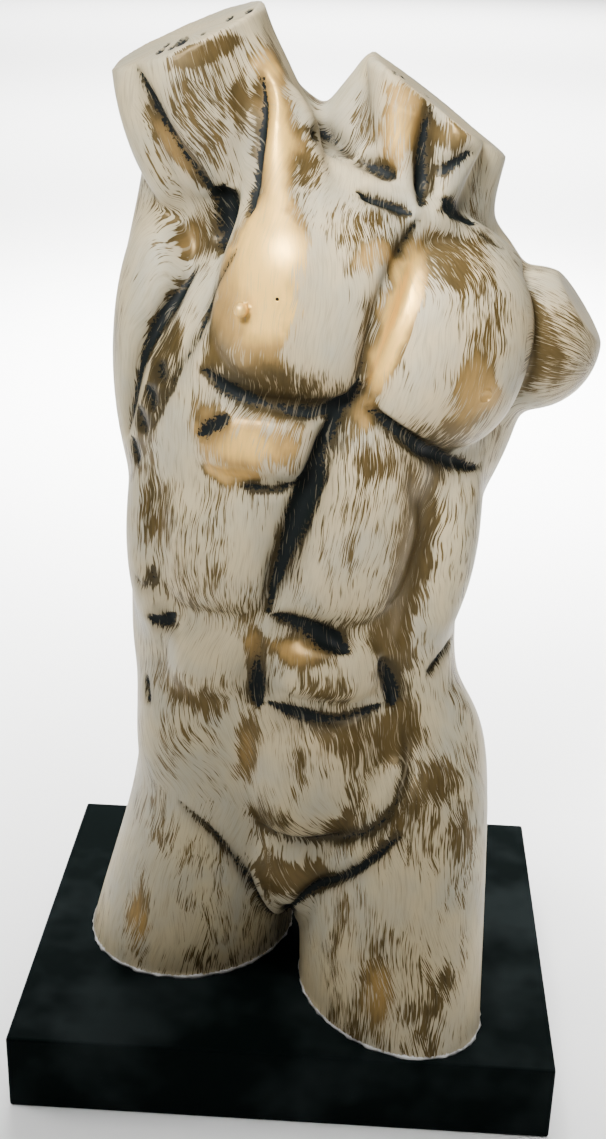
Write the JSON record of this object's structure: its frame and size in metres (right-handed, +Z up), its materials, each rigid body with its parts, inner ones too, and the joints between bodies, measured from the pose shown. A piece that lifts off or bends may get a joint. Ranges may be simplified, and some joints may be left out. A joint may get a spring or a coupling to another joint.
{
  "type": "male torso sculpture",
  "caption": "Male torso without head, forearms or lower legs, right arm stump raised, painted, on a rectangular black plinth.",
  "frame": {"origin": "middle of the plinth's underside", "axes": "+Z up, the front of the figure facing -Y, its left side towards +X"},
  "size_m": [0.3228, 0.256, 0.6144],
  "materials": {
    "painted_cast": "resin cast with a brushed acrylic coat: cream streaks over gold and bronze, black in the carved lines, satin",
    "black_board": "painted black, satin"
  },
  "bodies": {
    "root": {"torso": "painted_cast", "plinth": "black_board"}
  },
  "joints": []
}
